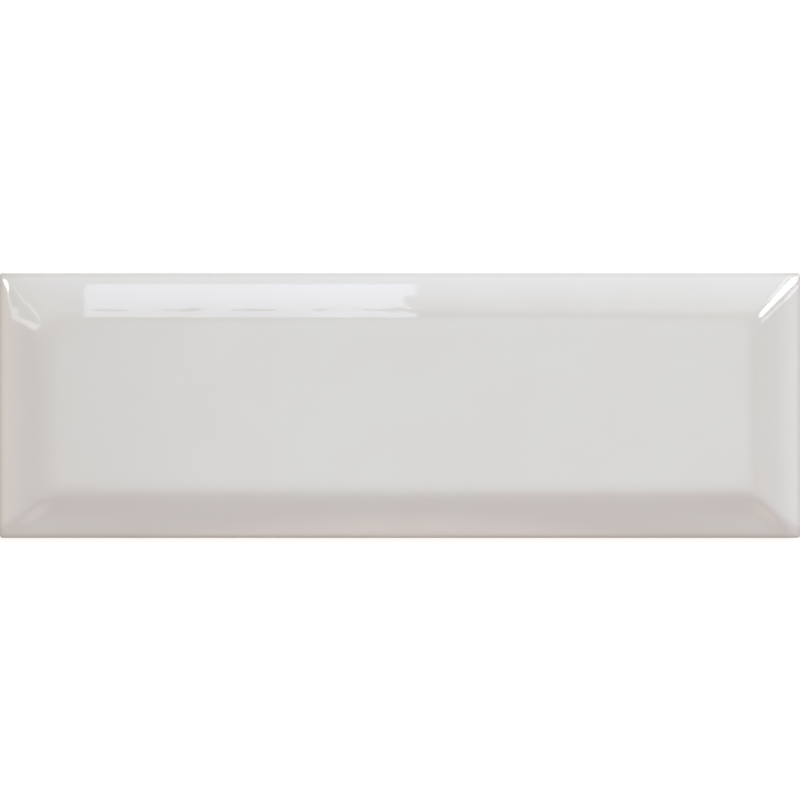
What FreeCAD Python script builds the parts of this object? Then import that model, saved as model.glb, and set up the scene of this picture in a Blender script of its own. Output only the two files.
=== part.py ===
import FreeCAD, Part

import math
import os

# Bevelled subway wall tile of the 10 x 30 cm module: one pressed, glazed and fired ceramic piece.
# It lies on its back. The origin is at the centre of the back, +X runs along the length,
# +Y along the width and +Z out of the glazed face. All sizes are in millimetres.

# Outline and heights
length = 299.0
width = 99.0
thickness = 8.0  # from the back's lands to the flat field of the face
rim_height = 5.0  # from the back's lands to the foot of the bevel
corner_radius = 1.2  # of the outline, seen from the front

# Glazed face
bevel_width = 16.5  # in plan, from the rim to the field
field_blend_width = 5.0  # in plan, of the soft bend between bevel and field
rim_round = 1.0  # radius of the arris that the glaze runs over

# Sides, which lean in towards the back so that tiles meet at the face only
lean_height = 2.0
lean_inset = 0.7

# Keying pockets pressed into the back, in an even number of rows and columns,
# so that the centre of the back is on a land
pocket_columns = 10
pocket_rows = 4
pocket_depth = 0.8
pocket_land = 3.5  # between two pockets
pocket_border = 8.5  # plain band round the edge of the back
pocket_draft = 0.6  # how far each pocket wall leans in over its depth
pocket_corner_radius = 2.0

LARGEST_SHARE = 0.9  # a round never takes more than this share of the room it has
SAME_HEIGHT = 1e-6

# Worked out from the sizes above
bevel_rise = thickness - rim_height
bevel_slope = math.atan2(bevel_rise, bevel_width)
field_length = length - 2 * bevel_width
field_width = width - 2 * bevel_width
back_length = length - 2 * lean_inset
back_width = width - 2 * lean_inset


def frustum(foot_x, foot_y, top_x, top_y, height):
    """A block with four plane sloping sides, centred on the Z axis, with its foot at z = 0."""
    wedge = Part.makeWedge(
        -foot_x / 2, 0.0, -foot_y / 2, -top_y / 2, -top_x / 2,
        foot_x / 2, height, foot_y / 2, top_y / 2, top_x / 2,
    )
    wedge.rotate(FreeCAD.Vector(0, 0, 0), FreeCAD.Vector(1, 0, 0), 90)
    return wedge


def edges_between(shape, lowest, highest):
    """The edges whose ends all lie between two heights."""
    return [
        edge
        for edge in shape.Edges
        if all(lowest - SAME_HEIGHT < v.Z < highest + SAME_HEIGHT for v in edge.Vertexes)
    ]


def slanted_or_upright_edges(shape):
    """The edges whose ends lie at different heights."""
    return [
        edge
        for edge in shape.Edges
        if abs(edge.Vertexes[0].Z - edge.Vertexes[-1].Z) > SAME_HEIGHT
    ]


def face_block():
    """A wide block under the face: the flat field and four bevels, bent softly into one another."""
    run = thickness * bevel_width / bevel_rise
    block = frustum(field_length + 2 * run, field_width + 2 * run, field_length, field_width, thickness)
    reach = min(
        field_blend_width / 2, LARGEST_SHARE * bevel_width, LARGEST_SHARE * field_width / 2
    )
    creases = edges_between(block, thickness, thickness) + slanted_or_upright_edges(block)
    return block.makeFillet(reach / math.tan(bevel_slope / 2), creases)


def side_block():
    """A high block inside the rim: upright at the rim, with the sides leaning in towards the back."""
    upright = Part.makeBox(
        length,
        width,
        2 * thickness - lean_height,
        FreeCAD.Vector(-length / 2, -width / 2, lean_height),
    )
    block = frustum(back_length, back_width, length, width, lean_height).fuse(upright)
    return block.makeFillet(corner_radius, slanted_or_upright_edges(block))


def round_rim(blank):
    """Rounds the arris between the rim and the bevels, as the glaze does."""
    room = min(corner_radius, rim_height - lean_height)
    radius = min(rim_round, LARGEST_SHARE * room / math.tan((math.pi / 2 - bevel_slope) / 2))
    lowest = lean_height + (rim_height - lean_height) / 2
    return blank.makeFillet(radius, edges_between(blank, lowest, rim_height))


def pocket_cutters():
    """All the keying pockets as one compound: an even grid inside the plain border of the back."""
    size_x = (back_length - 2 * pocket_border + pocket_land) / pocket_columns - pocket_land
    size_y = (back_width - 2 * pocket_border + pocket_land) / pocket_rows - pocket_land
    pocket = frustum(
        size_x, size_y, size_x - 2 * pocket_draft, size_y - 2 * pocket_draft, pocket_depth
    )
    pocket = pocket.makeFillet(pocket_corner_radius, slanted_or_upright_edges(pocket))
    copies = []
    for column in range(pocket_columns):
        for row in range(pocket_rows):
            copy = pocket.copy()
            copy.translate(
                FreeCAD.Vector(
                    (column - (pocket_columns - 1) / 2) * (size_x + pocket_land),
                    (row - (pocket_rows - 1) / 2) * (size_y + pocket_land),
                    0.0,
                )
            )
            copies.append(copy)
    return Part.makeCompound(copies)


def tile():
    """The finished tile as one solid."""
    blank = side_block().common(face_block())
    return round_rim(blank).cut(pocket_cutters()).Solids[0]


os.makedirs("parts", exist_ok=True)
tile().exportStep("parts/tile.step")
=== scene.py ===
import math

import bmesh
import bpy
import numpy as np
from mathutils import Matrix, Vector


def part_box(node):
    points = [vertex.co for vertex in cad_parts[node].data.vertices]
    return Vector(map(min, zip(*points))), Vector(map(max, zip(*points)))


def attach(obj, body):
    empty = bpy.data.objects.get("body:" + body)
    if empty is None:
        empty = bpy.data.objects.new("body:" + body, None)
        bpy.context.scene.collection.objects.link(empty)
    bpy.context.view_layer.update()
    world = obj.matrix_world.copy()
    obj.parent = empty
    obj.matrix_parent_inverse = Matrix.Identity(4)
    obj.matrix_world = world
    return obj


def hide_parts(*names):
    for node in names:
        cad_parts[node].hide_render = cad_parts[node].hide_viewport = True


# A bevelled wall tile that lies on its back, seen from straight above under soft studio light.
# Everything is in metres in the part's own frame: +X along the length, +Y along the width,
# +Z out of the glazed face, with z = 0 at the back.
MM = 0.001

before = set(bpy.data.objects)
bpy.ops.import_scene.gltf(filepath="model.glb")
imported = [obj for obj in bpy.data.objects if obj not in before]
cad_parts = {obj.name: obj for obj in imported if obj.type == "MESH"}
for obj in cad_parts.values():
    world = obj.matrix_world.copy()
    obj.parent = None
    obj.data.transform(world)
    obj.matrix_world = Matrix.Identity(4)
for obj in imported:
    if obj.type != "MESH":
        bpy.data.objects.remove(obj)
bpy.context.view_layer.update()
low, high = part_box("tile")
LENGTH = high.x - low.x
WIDTH = high.y - low.y
THICKNESS = high.z - low.z

# Glazed face. The bevel is crowned a little: steeper at the rim than where it meets the field
CORNER_RADIUS = 1.2 * MM
RIM_ROUND = 0.7 * MM
RIM_SLOPE = math.radians(13.0)
INNER_SLOPE = math.radians(8.7)
BEND_START = 13.5 * MM  # the bevel bends into the field between these insets from the outline
BEND_END = 24.0 * MM
BEND_EASE = 0.7  # below 1, the bend is tighter next to the bevel than next to the field
PROFILE_START = -3.0 * MM  # outside the outline, because the mitres lower the face at the corners
PROFILE_POINTS = 1200

# Softness of the mitres, which is how far the rounding of each reaches to both sides of it
UPPER_LEFT_AT_RIM = 3.0 * MM
UPPER_LEFT_RATE = 0.75  # how much softer it gets for each unit along the mitre
UPPER_LEFT_MOST = 11.5 * MM
UPPER_RIGHT_LEAST = 4.3 * MM
UPPER_RIGHT_MORE = 3.2 * MM  # what it has more where it is softest
UPPER_RIGHT_PEAK = 2.2 * MM  # how far along the mitre that is, but for the pinch
UPPER_RIGHT_PINCH = 0.7  # the share that it loses at the rim
UPPER_RIGHT_PINCH_FADE = 1.5 * MM
LOWER_LEAST = 1.8 * MM  # of the two lower mitres, next to the field
LOWER_MORE = 5.0 * MM  # what they have more at the rim
LOWER_FADE = 4.0 * MM

# Smaller forms of the face
LIP_DROP = 0.07 * MM  # along the long sides the glaze sags this much more at the rim
LIP_WIDTH = 3.0 * MM
LIP_START = 8.0 * MM  # the lip begins this far from the tile's ends, in full after the fade
LIP_FADE = 12.0 * MM
DISH_DEPTH = 0.6 * MM  # of the dish in the lower long bevel, before its reach and fade lessen it
DISH_WIDTH = 18.0 * MM
DISH_REACH = 45.0 * MM  # the dish grows shallower with the distance from the tile's ends
DISH_FADE = 10.0 * MM  # it begins at the mitre, in full after this much
WAVE_FADE = 4.0 * MM  # the glaze's waves die out over this much of the bevel next to the rim
WANDER_START = 11.5 * MM  # the bend wanders from here inwards, in full after the fade
WANDER_FADE = 3.0 * MM

# Sides and back
SIDE_TOP = 3.2 * MM  # height of the first ring below the arris
LEAN_HEIGHT = 2.0 * MM
LEAN_INSET = 0.7 * MM
LEAN_ROUND = 2.0 * MM
FOOT_ROUND = 0.3 * MM
FOOT_RUN = 1.0 * MM  # the last run of the side's path, which only gives the round its direction
POCKET_COLUMNS = 10
POCKET_ROWS = 4
POCKET_DEPTH = 0.8 * MM
POCKET_LAND = 3.5 * MM
POCKET_BORDER = 8.5 * MM
POCKET_DRAFT = 0.6 * MM
POCKET_CORNER_RADIUS = 2.0 * MM
POCKET_LIP = 0.25 * MM
WELD_REACH = 0.01 * MM  # the cells' neighbouring points are joined within this distance

# Mesh spacing
LONG_STEPS = 240
SHORT_STEPS = 80
CORNER_STEPS = 8
POCKET_CORNER_STEPS = 6
ARC_STEPS = 4
RIM_STEPS = 10
FIRST_RING = 0.9 * MM  # inset of the bevel's outermost ring
BEVEL_RING_STEP = 0.45 * MM
BEND_RING_STEP = 0.4 * MM
BEND_RING_MARGIN = 0.8 * MM  # the bend's rings begin this far outside it
FIELD_MARGIN = 4.0 * MM  # from the bend's end to the field's grid
CORNER_GROWTH = 0.2  # how much a ring's corner radius grows for each unit of its inset
CROWDING = 0.7  # how much closer the steps along a side are at its ends than on average

# Colours, in linear light
GLAZE = (0.65, 0.64, 0.60, 1.0)
GLAZE_DEEP = (0.645, 0.631, 0.592, 1.0)
# painted shade of the rounded rim: a darker, warmer tint of the glaze
GLAZE_PAINTED_RIM_SHADE = (0.54, 0.50, 0.445, 1.0)
BODY = (0.56, 0.51, 0.44, 1.0)
BODY_GRAIN = (0.46, 0.41, 0.34, 1.0)

# Glaze and body
GLAZE_IOR = 1.52
GLAZE_ROUGHNESS = 0.02
BODY_ROUGHNESS = 0.85
BODY_TOP = 2.35 * MM  # on the sides the body is bare up to about this height
GLAZE_FOOT = 2.6 * MM  # and the glaze is full from about this height up
GLAZE_LINE_WANDER = 1.6 * MM
RIM_SHADE_START = 2.4 * MM  # the painted shade of the rim comes in from this inset outwards
RIM_SHADE_END = -0.4 * MM  # and would be deepest just outside the rim
CLOUD_RANGE = (0.35, 0.65)  # the part of the noise's range over which the clouds come up
GRAIN_RANGE = (0.45, 0.75)
BUMP_STRENGTH = 0.35
BUMP_DEPTH = 0.06 * MM
GLAZE_BUMP = 0.02  # how high the glaze's bumps are beside the body's

# Noises in the material, each with its scale per metre, detail and roughness
LINE_NOISE = (160.0, 2.0, 0.5)
CLOUD_NOISE = (38.0, 3.0, 0.5)
GRAIN_NOISE = (900.0, 4.0, 0.7)
BODY_BUMP_NOISE = (1400.0, 4.0, 0.7)
GLAZE_BUMP_NOISE = (260.0, 2.0, 0.5)

# Floor
FLOOR_SIZE = 12.0
FLOOR_HEIGHT = -0.2 * MM
FLOOR_COLOUR = (0.4, 0.4, 0.4, 1.0)
FLOOR_GLOW = 0.8

# Studio dome, in linear light: a dim warm fill, a pale horizon and soft round lights. Each light
# has its heading from +X and its tilt from straight up, the angles from its middle within which
# it is full and beyond which it is gone, all in degrees, and its glow
FILL = (0.19, 0.01, 0.0, 1.0)
HORIZON = (0.95, 0.95, 0.95, 1.0)
HORIZON_TOP = 0.32  # sine of the height where the horizon begins, and where it is full
HORIZON_FULL = 0.22
DOME_LIGHTS = [
    (0, 2, 2, 14, (1.30, 1.75, 2.05, 1.0)),
    (60, 4, 14, 24, (0.18, 0.27, 0.03, 1.0)),
    (68, 62, 12, 50, (3.10, 3.70, 4.20, 1.0)),
    (15, 62, 8, 45, (0.00, 0.20, 0.20, 1.0)),
    (94, 28, 3, 9, (0.40, 0.50, 0.60, 1.0)),
    (270, 30, 2, 8, (1.60, 1.30, 1.10, 1.0)),
    (0, 39, 3, 10, (1.15, 1.35, 1.55, 1.0)),
    (180, 38, 3, 10, (1.09, 1.00, 0.64, 1.0)),
    (145, 28, 7, 16, (0.60, 0.85, 0.50, 1.0)),
]

# Lamps that hang flat, all at one height, and mirror in the glaze. The softbox is made of panels,
# each with its left and right end, its lower and upper side and its glow. Along the softbox's
# broken seam are short panels, each with its left and right end
LAMP_HEIGHT = 1.5
SOFTBOX_PANELS = [
    (-0.334, -0.100, 0.325, 0.440, 3.0),
    (-0.339, -0.100, 0.440, 0.505, 3.0),
    (-0.100, 0.000, 0.440, 0.505, 3.7),
    (-0.100, 0.018, 0.325, 0.440, 3.7),
    (-0.345, 0.005, 0.565, 0.680, 2.9),
    (-0.350, 0.008, 0.680, 0.780, 2.9),
    (0.008, 0.018, 0.680, 0.780, 2.4),
]
SEAM = (0.505, 0.565)  # its lower and upper side
SEAM_GLOW = 2.9
SEAM_PANELS = [
    (-0.342, -0.326),
    (-0.294, -0.263),
    (-0.246, -0.238),
    (-0.217, -0.184),
    (-0.131, -0.097),
    (-0.076, -0.045),
    (-0.026, -0.021),
]
SOFTBOX_TINT = (0.74, 0.79, 1.0)

# The oval lamps: middle, length, width, turn in degrees, glow and tint of each
OVALS = [
    ((0.85, 0.52), 0.78, 0.290, 48.0, 7.5, (0.97, 0.99, 1.0)),
    ((-0.82, 0.32), 0.28, 0.037, 40.0, 11.0, (1.0, 0.98, 0.95)),
    ((-0.88, 0.162), 0.47, 0.048, 15.5, 2.8, (0.97, 0.98, 1.0)),
    ((-1.02, 0.165), 0.20, 0.045, 31.0, 2.3, (0.93, 0.95, 1.0)),
    ((-0.68, 0.33), 0.16, 0.040, -75.0, 2.1, (1.0, 1.0, 1.0)),
    ((0.60, 0.575), 0.24, 0.130, 70.0, 3.3, (0.84, 0.88, 1.0)),
    ((1.04, 0.24), 0.22, 0.120, -65.0, 4.2, (0.93, 0.95, 1.0)),
    ((0.90, 0.145), 0.44, 0.080, 4.0, 3.0, (0.93, 0.95, 1.0)),
]

# Camera
LENS = 100.0
SENSOR = 36.0
CAMERA_SIDEWAYS = 1.98 * MM  # the tile lies this much below the middle of the picture
VIEW_LEVEL = 3.0 * MM  # at this height the tile's length fills the picture's width


def smooth_step(t):
    """0 below 0, 1 above 1, and a smooth rise between."""
    t = np.clip(t, 0.0, 1.0)
    return t * t * (3.0 - 2.0 * t)


def make_waves(seed, count, shortest, longest, size):
    """Random faint waves, each as its turn per metre along X and Y, its phase and its height."""
    random = np.random.default_rng(seed)
    spans = random.uniform(shortest, longest, count)
    headings = random.uniform(0, 2 * math.pi, count)
    phases = random.uniform(0, 2 * math.pi, count)
    heights = size * spans / spans.mean() / math.sqrt(count)
    turns = 2 * math.pi / spans
    return list(zip(turns * np.cos(headings), turns * np.sin(headings), phases, heights))


def sum_waves(waves, x, y):
    """Height of all the waves together over points in plan."""
    total = np.zeros_like(x)
    for turn_x, turn_y, phase, height in waves:
        total += height * np.sin(turn_x * x + turn_y * y + phase)
    return total


GLAZE_WAVES = make_waves(seed=11, count=24, shortest=9 * MM, longest=40 * MM, size=0.002 * MM)
BEND_WANDER = make_waves(seed=23, count=12, shortest=7 * MM, longest=22 * MM, size=0.07 * MM)

# The face lies this much lower, so that no wave stands out above the tile's thickness
WAVE_ROOM = sum(wave[3] for wave in GLAZE_WAVES)


def make_profile():
    """Insets from the outline, and how far the face lies below the field at each of them."""
    insets = np.linspace(PROFILE_START, BEND_END, PROFILE_POINTS)
    crown = RIM_SLOPE + (INNER_SLOPE - RIM_SLOPE) * insets / BEND_START
    into_bend = np.clip((insets - BEND_START) / (BEND_END - BEND_START), 0.0, 1.0)
    bend = 1.0 - smooth_step(into_bend**BEND_EASE)
    rises = np.tan(crown * bend) * (insets[1] - insets[0])
    return insets, np.cumsum(rises[::-1])[::-1]


PROFILE_INSETS, PROFILE_FALLS = make_profile()


def mitre_softness(x, y, along):
    """How far the rounding of a mitre reaches to each side, at points so far along it.

    Pressed corners differ a little: the upper left mitre gets softer away from the rim, the
    upper right one is softest near the rim, and the two lower ones are softest at the rim.
    """
    upper_left = np.minimum(UPPER_LEFT_AT_RIM + UPPER_LEFT_RATE * along, UPPER_LEFT_MOST)
    share = along / UPPER_RIGHT_PEAK
    upper_right = UPPER_RIGHT_LEAST + UPPER_RIGHT_MORE * share * np.exp(1.0 - share)
    upper_right *= 1.0 - UPPER_RIGHT_PINCH * np.exp(-along / UPPER_RIGHT_PINCH_FADE)
    lower = LOWER_LEAST + LOWER_MORE * np.exp(-along / LOWER_FADE)
    return np.where(y < 0, lower, np.where(x < 0, upper_left, upper_right))


def face_height(x, y):
    """Height of the glazed face over points in plan."""
    from_end = LENGTH / 2 - np.abs(x)
    from_side = WIDTH / 2 - np.abs(y)

    # The bevels, with their soft mitres and a bend that wanders
    softness = mitre_softness(x, y, (from_end + from_side) / 2)
    near_mitre = np.maximum(softness - np.abs(from_end - from_side), 0.0)
    inset = np.minimum(from_end, from_side) - near_mitre**2 / (4 * softness)
    wander = smooth_step((inset - WANDER_START) / WANDER_FADE) * sum_waves(BEND_WANDER, x, y)
    fall = np.interp(inset + wander, PROFILE_INSETS, PROFILE_FALLS, right=0.0)

    # The lips, the dish and the faint waves
    lip = LIP_DROP * np.clip(1.0 - from_side / LIP_WIDTH, 0.0, 1.0) ** 3
    lip = lip * smooth_step((from_end - LIP_START) / LIP_FADE)
    dish = DISH_DEPTH * np.exp(-from_end / DISH_REACH)
    dish = dish * smooth_step((from_end - from_side) / DISH_FADE)
    across = np.clip((WIDTH / 2 + y) / DISH_WIDTH, 0.0, 1.0)
    fall = fall + lip + dish * np.sin(math.pi * across) ** 2
    waves = smooth_step(inset / WAVE_FADE) * sum_waves(GLAZE_WAVES, x, y)
    return THICKNESS - WAVE_ROOM - fall + waves


def rounded_path(points, radii):
    """A path of straight runs in two dimensions, its inner corners rounded to the given radii."""
    path = [np.array(points[0])]
    for before, corner, after, radius in zip(points, points[1:], points[2:], radii):
        corner = np.array(corner)
        back = np.array(before) - corner
        ahead = np.array(after) - corner
        back /= np.linalg.norm(back)
        ahead /= np.linalg.norm(ahead)
        half = math.acos(float(np.dot(back, ahead))) / 2
        middle = (back + ahead) / np.linalg.norm(back + ahead)
        centre = corner + middle * radius / math.sin(half)
        start = corner + back * radius / math.tan(half) - centre
        end = corner + ahead * radius / math.tan(half) - centre
        turn = math.pi - 2 * half
        for share in np.linspace(0.0, 1.0, ARC_STEPS + 1):
            on_arc = math.sin((1 - share) * turn) * start + math.sin(share * turn) * end
            path.append(centre + on_arc / math.sin(turn))
    path.append(np.array(points[-1]))
    return path


def crowded(steps):
    """Shares from 0 to 1 in that many steps, which are shorter towards both ends."""
    shares = np.linspace(0.0, 1.0, steps + 1)
    return shares - CROWDING * np.sin(2 * math.pi * shares) / (2 * math.pi)


def corner_arcs(half_x, half_y, radius, steps):
    """Points of a rectangle's four rounded corners, counter-clockwise from +X."""
    arcs = []
    for quarter, (sign_x, sign_y) in enumerate([(1, 1), (-1, 1), (-1, -1), (1, -1)]):
        turns = math.pi / 2 * (quarter + np.linspace(0.0, 1.0, steps + 1))
        centre = [sign_x * (half_x - radius), sign_y * (half_y - radius)]
        arcs.append(centre + radius * np.column_stack([np.cos(turns), np.sin(turns)]))
    return arcs


def ring_plan(inset, radius):
    """Points of a rounded rectangle at that inset from the outline, counter-clockwise from +X."""
    arcs = corner_arcs(LENGTH / 2 - inset, WIDTH / 2 - inset, radius, CORNER_STEPS)
    points = []
    for quarter, arc in enumerate(arcs):
        following = arcs[(quarter + 1) % 4]
        steps = LONG_STEPS if quarter % 2 == 0 else SHORT_STEPS
        shares = crowded(steps)[1:-1, None]
        points += [arc, arc[-1] + (following[0] - arc[-1]) * shares]
    return np.concatenate(points)


def face_plan(inset):
    """A ring of the face in plan, whose corners get a little rounder inwards."""
    return ring_plan(inset, CORNER_RADIUS + CORNER_GROWTH * inset)


def raised(plan, height):
    """Points in plan brought to one height, or each to its own."""
    return np.column_stack([plan, np.broadcast_to(height, len(plan))])


def bevel_rings():
    """Rings of the bevel and its bend, from the field out to the rim."""
    bend_start = BEND_START - BEND_RING_MARGIN
    bevel = np.arange(FIRST_RING, bend_start - BEND_RING_STEP / 2, BEVEL_RING_STEP)
    bend = np.arange(bend_start, BEND_END + BEND_RING_STEP, BEND_RING_STEP)
    plans = [face_plan(inset) for inset in np.concatenate([bevel, bend])[::-1]]
    return [raised(plan, face_height(*plan.T)) for plan in plans]


def rim_rings():
    """Rings of the arris, an arc that turns from the bevel's slope to upright."""
    full_turn = math.pi / 2 - RIM_SLOPE
    arc_inset = RIM_ROUND * (1 - math.cos(full_turn))
    rings = []
    for turn in np.linspace(full_turn, 0.0, RIM_STEPS):
        inset = RIM_ROUND * (1 - math.cos(turn))
        plan = face_plan(inset)
        line_drop = (arc_inset - inset) * math.tan(RIM_SLOPE)
        arc_drop = RIM_ROUND * (math.sin(full_turn) - math.sin(turn))
        rings.append(raised(plan, face_height(*plan.T) + line_drop - arc_drop))
    return rings


def side_rings():
    """Rings of the upright side, the side that leans in, and the foot's small round."""
    points = [
        (0.0, SIDE_TOP),
        (0.0, LEAN_HEIGHT),
        (LEAN_INSET, 0.0),
        (LEAN_INSET + FOOT_RUN, 0.0),
    ]
    path = rounded_path(points, [LEAN_ROUND, FOOT_ROUND])[:-1]
    return [raised(ring_plan(inset, CORNER_RADIUS), height) for inset, height in path]


def add_rings(mesh, rings):
    """Adds rings of equal counts with quads between them, and returns their vertices."""
    rows = [[mesh.verts.new(point) for point in ring] for ring in rings]
    for row, next_row in zip(rows, rows[1:]):
        for i in range(len(row)):
            j = (i + 1) % len(row)
            mesh.faces.new((row[i], next_row[i], next_row[j], row[j]))
    return rows


def add_field(mesh, ring):
    """Fills the innermost ring with an even grid. Fans join its corners to the ring's arcs."""
    inset = BEND_END + FIELD_MARGIN
    columns = (LENGTH / 2 - inset) * (1.0 - 2.0 * crowded(LONG_STEPS))
    lines = (WIDTH / 2 - inset) * (1.0 - 2.0 * crowded(SHORT_STEPS))
    grid_x, grid_y = np.meshgrid(columns, lines, indexing="ij")
    points = np.dstack([grid_x, grid_y, face_height(grid_x, grid_y)])
    grid = [[mesh.verts.new(point) for point in line] for line in points]
    for line, next_line in zip(grid, grid[1:]):
        for j in range(SHORT_STEPS):
            mesh.faces.new((line[j], next_line[j], next_line[j + 1], line[j + 1]))

    # The grid's four sides in the ring's own order
    sides = [
        [line[0] for line in grid],
        grid[-1],
        [line[-1] for line in reversed(grid)],
        grid[0][::-1],
    ]
    at = 0
    for side in sides:
        for step in range(CORNER_STEPS):
            mesh.faces.new((ring[at + step], ring[at + step + 1], side[0]))
        at += CORNER_STEPS
        for vertex, next_vertex in zip(side, side[1:]):
            mesh.faces.new((ring[at], ring[(at + 1) % len(ring)], next_vertex, vertex))
            at += 1


def cell_ring(mouth, half_x, half_y):
    """The mouth's points moved straight out to the edge of the pocket's own cell."""
    points = []
    for i, (x, y, height) in enumerate(mouth):
        quarter, step = divmod(i, POCKET_CORNER_STEPS + 1)
        from_x = step if quarter % 2 == 0 else POCKET_CORNER_STEPS - step
        if from_x <= POCKET_CORNER_STEPS / 2:
            x = math.copysign(half_x, x)
        if from_x >= POCKET_CORNER_STEPS / 2:
            y = math.copysign(half_y, y)
        points.append((x, y, height))
    return np.array(points)


def pocket_loops(pitch_x, pitch_y):
    """Rings of one pocket round its own centre, from the edge of its cell down to its floor."""
    half_x = (pitch_x - POCKET_LAND) / 2
    half_y = (pitch_y - POCKET_LAND) / 2
    points = [
        (0.5 * POCKET_LAND, 0.0),
        (0.0, 0.0),
        (-POCKET_DRAFT, POCKET_DEPTH),
        (-POCKET_DRAFT - 0.5 * POCKET_LAND, POCKET_DEPTH),
    ]
    loops = []
    for out, depth in rounded_path(points, [POCKET_LIP, POCKET_LIP])[1:-1]:
        radius = POCKET_CORNER_RADIUS + out
        arcs = corner_arcs(half_x + out, half_y + out, radius, POCKET_CORNER_STEPS)
        loops.append(raised(np.concatenate(arcs), depth))
    return [cell_ring(loops[0], pitch_x / 2, pitch_y / 2)] + loops


def add_back(mesh):
    """The keyed back: a grid of shallow pockets with soft lips, and the plain border round it."""
    grid_x = LENGTH - 2 * LEAN_INSET - 2 * POCKET_BORDER + POCKET_LAND
    grid_y = WIDTH - 2 * LEAN_INSET - 2 * POCKET_BORDER + POCKET_LAND
    pitch_x = grid_x / POCKET_COLUMNS
    pitch_y = grid_y / POCKET_ROWS
    loops = pocket_loops(pitch_x, pitch_y)
    borders = []
    for column in range(POCKET_COLUMNS):
        for line in range(POCKET_ROWS):
            centre_x = (column - (POCKET_COLUMNS - 1) / 2) * pitch_x
            centre_y = (line - (POCKET_ROWS - 1) / 2) * pitch_y
            rows = add_rings(mesh, [loop + (centre_x, centre_y, 0.0) for loop in loops])
            mesh.faces.new(rows[-1])
            borders += rows[0]
    bmesh.ops.remove_doubles(mesh, verts=borders, dist=WELD_REACH)
    open_edges = [edge for edge in mesh.edges if edge.is_boundary]
    bmesh.ops.triangle_fill(mesh, edges=open_edges, use_beauty=True)


def build_tile():
    """The tile's whole skin as one closed mesh."""
    mesh = bmesh.new()
    rows = add_rings(mesh, bevel_rings() + rim_rings() + side_rings())
    add_field(mesh, rows[0])
    add_back(mesh)
    bmesh.ops.recalc_face_normals(mesh, faces=mesh.faces)
    for face in mesh.faces:
        face.smooth = True
    data = bpy.data.meshes.new("glazed_tile")
    mesh.to_mesh(data)
    mesh.free()
    tile = bpy.data.objects.new("glazed_tile", data)
    bpy.context.scene.collection.objects.link(tile)
    return tile


class Nodes:
    """Short ways to add and link the nodes of one tree."""

    def __init__(self, tree):
        self.tree = tree
        tree.nodes.clear()

    def add(self, kind, **inputs):
        """Adds a node and feeds its inputs by name, with underscores for the names' spaces."""
        node = self.tree.nodes.new(kind)
        for name, value in inputs.items():
            self.feed(node.inputs[name.replace("_", " ")], value)
        return node

    def feed(self, socket, value):
        """Links another node's output to the socket, or sets the socket's own value."""
        if isinstance(value, bpy.types.NodeSocket):
            self.tree.links.new(value, socket)
        else:
            socket.default_value = value

    def maths(self, operation, *values):
        """The result of a sum or another operation on one or two values."""
        node = self.tree.nodes.new("ShaderNodeMath")
        node.operation = operation
        for socket, value in zip(node.inputs, values):
            self.feed(socket, value)
        return node.outputs[0]

    def ramp(self, value, start, end):
        """A smooth rise from 0 to 1 as the value goes from start to end."""
        node = self.tree.nodes.new("ShaderNodeMapRange")
        node.interpolation_type = "SMOOTHSTEP"
        self.feed(node.inputs["Value"], value)
        self.feed(node.inputs["From Min"], start)
        self.feed(node.inputs["From Max"], end)
        return node.outputs["Result"]

    def mix(self, share, first, second, blend="MIX"):
        """Two colours mixed. The node's colour sockets come after those for other values."""
        node = self.tree.nodes.new("ShaderNodeMix")
        node.data_type = "RGBA"
        node.blend_type = blend
        self.feed(node.inputs[0], share)
        self.feed(node.inputs[6], first)
        self.feed(node.inputs[7], second)
        return node.outputs[2]

    def split(self, vector):
        """The three parts of a vector."""
        node = self.tree.nodes.new("ShaderNodeSeparateXYZ")
        self.tree.links.new(vector, node.inputs[0])
        return node.outputs

    def noise(self, place, scale, detail, roughness):
        """Soft noise from 0 to 1 over a place in space."""
        node = self.add(
            "ShaderNodeTexNoise", Vector=place, Scale=scale, Detail=detail, Roughness=roughness
        )
        return node.outputs["Fac"]


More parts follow.
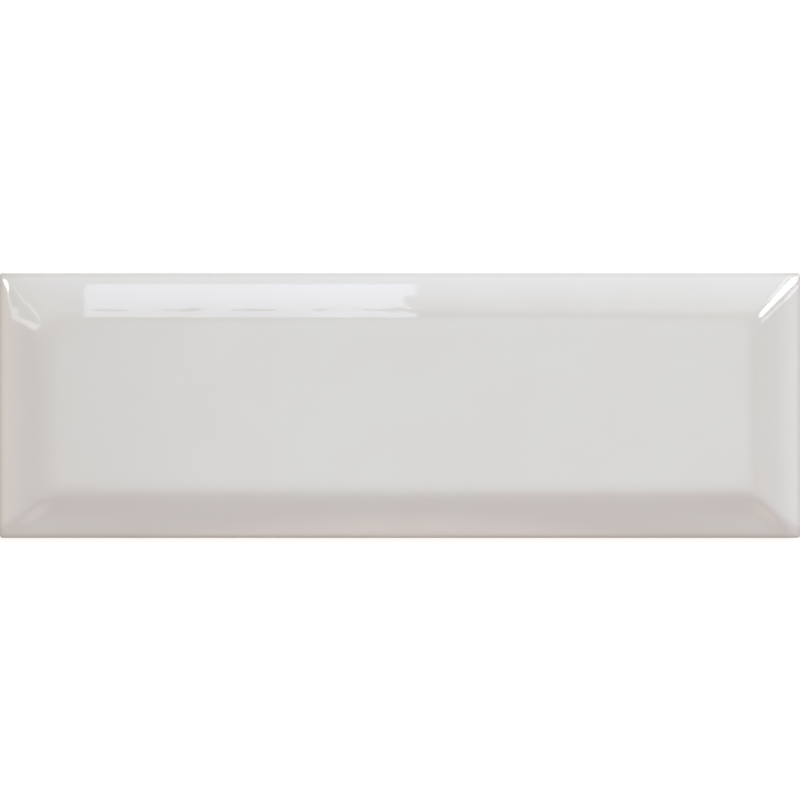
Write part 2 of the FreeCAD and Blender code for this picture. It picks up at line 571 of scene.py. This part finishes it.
def make_ceramic():
    """Glossy glaze over a bare matte body, which shows below an uneven line on the sides, with
    painted shade that darkens the glaze towards the rim.
    """
    material = bpy.data.materials.new("glazed_body")
    material.use_nodes = True
    nodes = Nodes(material.node_tree)
    place = nodes.add("ShaderNodeTexCoord").outputs["Object"]
    x, y, z = nodes.split(place)

    # Where the glaze ends, part-way down the sides
    uneven = nodes.maths("SUBTRACT", nodes.noise(place, *LINE_NOISE), 0.5)
    wandering = nodes.maths("ADD", z, nodes.maths("MULTIPLY", uneven, GLAZE_LINE_WANDER))
    glazed = nodes.ramp(wandering, BODY_TOP, GLAZE_FOOT)

    # Faint clouds in the glaze, and painted shade: a darker, warmer tint towards the rim, where
    # the rounded arris turns away from the light
    clouds = nodes.ramp(nodes.noise(place, *CLOUD_NOISE), *CLOUD_RANGE)
    from_end = nodes.maths("SUBTRACT", LENGTH / 2, nodes.maths("ABSOLUTE", x))
    from_side = nodes.maths("SUBTRACT", WIDTH / 2, nodes.maths("ABSOLUTE", y))
    # painted shade: the glaze gets darker and warmer towards the rim
    painted_rim_shade = nodes.ramp(nodes.maths("MINIMUM", from_end, from_side), RIM_SHADE_START, RIM_SHADE_END)
    glaze = nodes.mix(painted_rim_shade, nodes.mix(clouds, GLAZE, GLAZE_DEEP), GLAZE_PAINTED_RIM_SHADE)

    # The body and its grain
    grain = nodes.ramp(nodes.noise(place, *GRAIN_NOISE), *GRAIN_RANGE)
    body = nodes.mix(grain, BODY, BODY_GRAIN)

    glaze_bumps = nodes.maths("MULTIPLY", nodes.noise(place, *GLAZE_BUMP_NOISE), GLAZE_BUMP)
    bumps = nodes.mix(glazed, nodes.noise(place, *BODY_BUMP_NOISE), glaze_bumps)
    bump = nodes.add(
        "ShaderNodeBump", Height=bumps, Strength=BUMP_STRENGTH, Distance=BUMP_DEPTH
    )
    smoother = nodes.maths("MULTIPLY", glazed, BODY_ROUGHNESS - GLAZE_ROUGHNESS)
    finish = nodes.add(
        "ShaderNodeBsdfPrincipled",
        Base_Color=nodes.mix(glazed, body, glaze),
        Roughness=nodes.maths("SUBTRACT", BODY_ROUGHNESS, smoother),
        IOR=GLAZE_IOR,
        Normal=bump.outputs["Normal"],
    )
    nodes.add("ShaderNodeOutputMaterial", Surface=finish.outputs["BSDF"])
    return material


def make_floor():
    """A plain pale floor, which glows a little so that it stays white up to the tile."""
    bpy.ops.mesh.primitive_plane_add(size=FLOOR_SIZE, location=(0.0, 0.0, FLOOR_HEIGHT))
    floor = bpy.context.object
    floor.name = "floor"
    material = bpy.data.materials.new("pale_floor")
    material.use_nodes = True
    finish = material.node_tree.nodes["Principled BSDF"]
    finish.inputs["Base Color"].default_value = FLOOR_COLOUR
    finish.inputs["Roughness"].default_value = 1.0
    finish.inputs["Specular IOR Level"].default_value = 0.0
    finish.inputs["Emission Color"].default_value = (1.0, 1.0, 1.0, 1.0)
    finish.inputs["Emission Strength"].default_value = FLOOR_GLOW
    floor.data.materials.append(material)


def make_surroundings():
    """The studio's dome as the world's light: the fill, the round lights and the horizon."""
    world = bpy.data.worlds.new("soft_studio")
    bpy.context.scene.world = world
    world.use_nodes = True
    nodes = Nodes(world.node_tree)
    direction = nodes.add("ShaderNodeTexCoord").outputs["Generated"]
    dome = FILL
    for *angles, glow in DOME_LIGHTS:
        heading, tilt, full, gone = map(math.radians, angles)
        middle = (
            math.sin(tilt) * math.cos(heading),
            math.sin(tilt) * math.sin(heading),
            math.cos(tilt),
        )
        nearness = nodes.add("ShaderNodeVectorMath")
        nearness.operation = "DOT_PRODUCT"
        nodes.feed(nearness.inputs[0], direction)
        nodes.feed(nearness.inputs[1], middle)
        share = nodes.ramp(nearness.outputs["Value"], math.cos(gone), math.cos(full))
        dome = nodes.mix(share, dome, glow, "ADD")
    height = nodes.split(direction)[2]
    dome = nodes.mix(nodes.ramp(height, HORIZON_TOP, HORIZON_FULL), dome, HORIZON)
    background = nodes.add("ShaderNodeBackground", Color=dome, Strength=1.0)
    nodes.add("ShaderNodeOutputWorld", Surface=background.outputs[0])


def add_lamp(name, shape, middle, size, turn, glow, tint):
    """A flat lamp that faces straight down and whose surface glows at that level."""
    light = bpy.data.lights.new(name, "AREA")
    light.shape = shape
    light.size, light.size_y = size
    area = size[0] * size[1]
    if shape == "ELLIPSE":
        area *= math.pi / 4
    light.energy = glow * math.pi * area
    light.color = tint
    lamp = bpy.data.objects.new(name, light)
    lamp.location = (middle[0], middle[1], LAMP_HEIGHT)
    lamp.rotation_euler = (0.0, 0.0, turn)
    bpy.context.scene.collection.objects.link(lamp)


def make_lights():
    """All the lamps: the softbox with its broken seam, and the ovals."""
    panels = SOFTBOX_PANELS + [(left, right, *SEAM, SEAM_GLOW) for left, right in SEAM_PANELS]
    for left, right, bottom, top, glow in panels:
        middle = ((left + right) / 2, (bottom + top) / 2)
        size = (right - left, top - bottom)
        add_lamp("softbox", "RECTANGLE", middle, size, 0.0, glow, SOFTBOX_TINT)
    for middle, length, width, turn, glow, tint in OVALS:
        add_lamp("oval", "ELLIPSE", middle, (length, width), math.radians(turn), glow, tint)


def make_camera():
    """Straight above the tile, at the distance where its length fills the picture's width."""
    camera = bpy.data.cameras.new("camera")
    camera.lens = LENS
    camera.sensor_width = SENSOR
    view = bpy.data.objects.new("camera", camera)
    view.location = (0.0, CAMERA_SIDEWAYS, VIEW_LEVEL + LENGTH * LENS / SENSOR)
    bpy.context.scene.collection.objects.link(view)
    bpy.context.scene.camera = view


tile = build_tile()
tile.data.materials.append(make_ceramic())
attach(tile, "root")
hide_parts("tile")

make_floor()
make_surroundings()
make_lights()
make_camera()
bpy.context.scene.view_settings.view_transform = "Standard"
